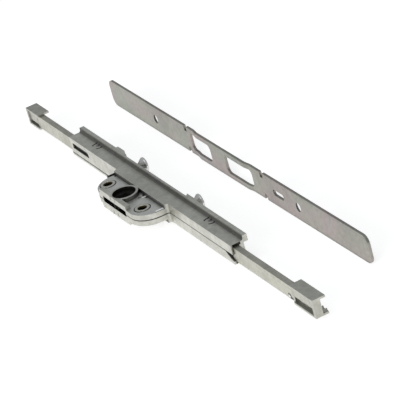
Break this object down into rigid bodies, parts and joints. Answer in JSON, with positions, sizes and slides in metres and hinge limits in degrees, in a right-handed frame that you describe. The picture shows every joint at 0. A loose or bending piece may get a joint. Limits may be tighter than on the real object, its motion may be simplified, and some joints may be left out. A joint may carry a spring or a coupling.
{
  "type": "espagnolette gearbox",
  "caption": "Flat window gearbox with a square spindle hub, two opposed rod slides with mushroom locking pins, rod couplers at the ends and a loose slotted faceplate.",
  "frame": {"origin": "on the spindle axis, midway between the two handle screws, level with the plane where the castings part", "axes": "+X along the slides, +Y from the spindle to the faceplate, +Z along the spindle and the handle screws"},
  "size_m": [0.3452, 0.0667, 0.016],
  "materials": {
    "zinc_casting": null,
    "coupler_casting": "zinc die casting, matt",
    "sleeve_steel": "turned steel, zinc plated",
    "rivet_steel": "headed and ground flush",
    "gear_steel": "sintered steel, dark and oiled",
    "bar_steel": "drawn bar, zinc plated",
    "pin_steel": "turned and polished",
    "plate_steel": "pressed strip, zinc plated, faintly iridescent"
  },
  "bodies": {
    "case": {"case_upper_shell": "zinc_casting", "case_lower_shell": "zinc_casting", "handle_sleeve_left": "sleeve_steel", "handle_sleeve_right": "sleeve_steel", "case_rivets": "rivet_steel", "idler_axle": "rivet_steel", "faceplate": "plate_steel"},
    "spindle": {"spindle_pinion": "gear_steel"},
    "idler": {"idler_pinion": "gear_steel"},
    "left_slide": {"left_slide_bar": "bar_steel", "left_rod_coupler": "coupler_casting", "left_coupler_rivet": "rivet_steel", "left_rack": "gear_steel", "left_rack_rivets": "rivet_steel", "left_locking_pin": "pin_steel"},
    "right_slide": {"right_slide_bar": "bar_steel", "right_rod_coupler": "coupler_casting", "right_coupler_rivet": "rivet_steel", "right_rack": "gear_steel", "right_rack_rivets": "rivet_steel", "right_locking_pin": "pin_steel"}
  },
  "joints": [
    {"name": "left_slide_travel", "type": "slide", "parent": "case", "child": "left_slide", "axis": [1, 0, 0], "range_m": [0, 0.0201]},
    {"name": "right_slide_travel", "type": "slide", "parent": "case", "child": "right_slide", "axis": [-1, 0, 0], "range_m": [0, 0.0202]},
    {"name": "spindle_turn", "type": "hinge", "parent": "case", "child": "spindle", "pos_m": [0, 0, 0], "axis": [0, 0, -1], "range_deg": [0, 180]},
    {"name": "idler_turn", "type": "hinge", "parent": "case", "child": "idler", "pos_m": [0.00899, 0.00438, 0], "axis": [0, 0, -1], "range_deg": [-320.5, 0]}
  ],
  "couplings": [
    {"joint": "spindle_turn", "follows": "left_slide_travel", "rad_per_m": 156.25},
    {"joint": "idler_turn", "follows": "left_slide_travel", "rad_per_m": -277.78},
    {"joint": "right_slide_travel", "follows": "left_slide_travel", "ratio": 1}
  ]
}
